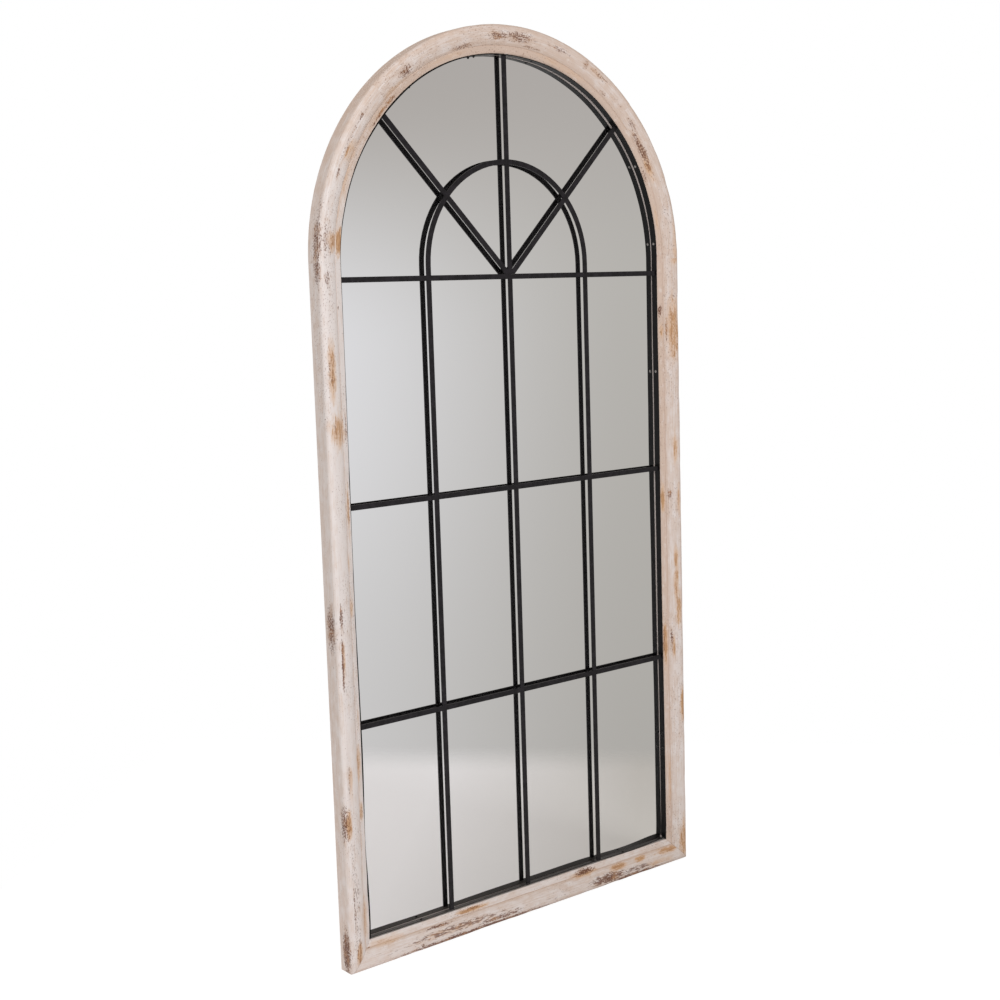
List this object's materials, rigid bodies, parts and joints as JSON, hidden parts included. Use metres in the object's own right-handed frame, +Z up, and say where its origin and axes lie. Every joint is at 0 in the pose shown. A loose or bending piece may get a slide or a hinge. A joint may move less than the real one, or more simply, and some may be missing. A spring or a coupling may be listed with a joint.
{
  "type": "arched window mirror",
  "caption": "Arched window-style wall mirror: distressed whitewashed wood frame, black iron glazing grille over one mirror pane, back panel and ring hangers.",
  "frame": {"origin": "middle of the wooden frame's back plane at its lower edge, where the wall meets the underside", "axes": "+Z up, +Y towards the wall behind the mirror, +X to the right as seen from the front"},
  "size_m": [0.9, 0.0466, 1.792],
  "materials": {
    "whitewashed_fir": "distressed whitewash rubbed back to the grain",
    "black_iron": "satin black paint",
    "silvered_glass": "polished float glass, silvered behind",
    "hardboard": "plain brown hardboard",
    "zinc_steel": "bright zinc plate",
    "beech": "plain turned dowel"
  },
  "bodies": {
    "frame": {"left_stile": "whitewashed_fir", "right_stile": "whitewashed_fir", "bottom_rail": "whitewashed_fir", "left_haunch": "whitewashed_fir", "left_crown": "whitewashed_fir", "right_crown": "whitewashed_fir", "right_haunch": "whitewashed_fir", "hoop_band": "black_iron", "sill_band": "black_iron", "spring_bar": "black_iron", "middle_bar": "black_iron", "lower_bar": "black_iron", "centre_bar": "black_iron", "inner_hoop": "black_iron", "left_ray": "black_iron", "right_ray": "black_iron", "band_pins": "black_iron", "left_hanger_strap": "zinc_steel", "right_hanger_strap": "zinc_steel", "hanger_screws": "zinc_steel", "panel_screws": "zinc_steel", "joint_dowels": "beech", "mirror_pane": "silvered_glass", "back_panel": "hardboard"},
    "left_ring": {"left_hanger_ring": "zinc_steel"},
    "right_ring": {"right_hanger_ring": "zinc_steel"}
  },
  "joints": [
    {"name": "left_ring_pivot", "type": "hinge", "parent": "frame", "child": "left_ring", "pos_m": [-0.436, 0.0033, 1.25], "axis": [1, 0, 0], "range_deg": [0, 180]},
    {"name": "right_ring_pivot", "type": "hinge", "parent": "frame", "child": "right_ring", "pos_m": [0.436, 0.0033, 1.25], "axis": [1, 0, 0], "range_deg": [0, 180]}
  ]
}
